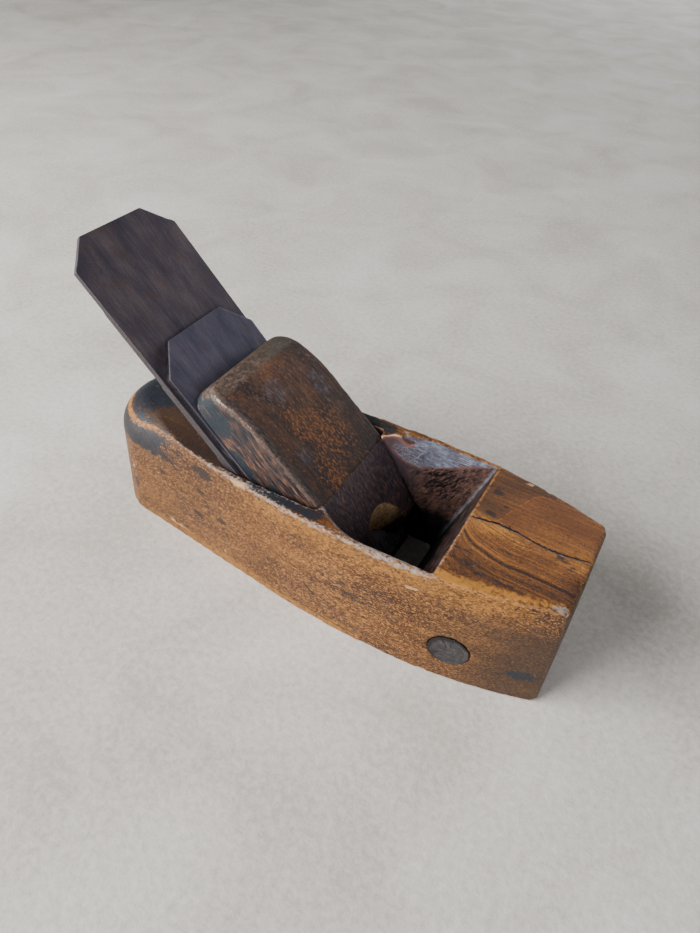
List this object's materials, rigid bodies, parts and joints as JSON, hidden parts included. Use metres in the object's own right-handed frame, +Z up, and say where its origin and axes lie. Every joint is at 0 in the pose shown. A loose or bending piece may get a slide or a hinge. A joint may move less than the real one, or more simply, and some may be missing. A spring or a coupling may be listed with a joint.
{
  "type": "smoothing plane",
  "caption": "Wooden coffin-shaped smoothing plane: worn beech stock with open throat, tapered double iron with cap iron and screw, and an arched wedge.",
  "frame": {"origin": "middle of the sole, on the face that the plane rests and slides on", "axes": "+X towards the toe, the way the plane is pushed; +Z up, square off the sole; the side with the plug faces -Y"},
  "size_m": [0.213, 0.07, 0.1297],
  "materials": {
    "stock_wood": "worn, oiled beech with dark patina",
    "plug_wood": "dark end grain",
    "cutting_iron": "browned wrought iron, dull",
    "facing_steel": "ground steel, darkened",
    "cap_iron": "browned iron, dull",
    "nut_brass": "tarnished",
    "screw_steel": "browned, dull",
    "wedge_wood": "dark oiled beech, worn"
  },
  "bodies": {
    "stock": {"stock": "stock_wood", "side_plug": "plug_wood"},
    "iron": {"cutting_iron": "cutting_iron", "steel_facing": "facing_steel"},
    "cap": {"cap_iron": "cap_iron", "cap_nut": "nut_brass"},
    "screw": {"cap_screw": "screw_steel"},
    "wedge": {"wedge": "wedge_wood"}
  },
  "joints": [
    {"name": "iron_draw", "type": "slide", "parent": "stock", "child": "iron", "axis": [-0.6947, 0, 0.7193], "range_m": [-0.001, 0.085]},
    {"name": "cap_set", "type": "slide", "parent": "iron", "child": "cap", "axis": [-0.7052, 0, 0.709], "range_m": [0, 0.03]},
    {"name": "cap_screw_turn", "type": "hinge", "parent": "cap", "child": "screw", "pos_m": [-0.01652, 0, 0.04396], "axis": [0.709, 0, 0.7052], "range_deg": [0, 1530]},
    {"name": "wedge_draw", "type": "slide", "parent": "cap", "child": "wedge", "axis": [-0.7052, 0, 0.709], "range_m": [0, 0.1]}
  ]
}
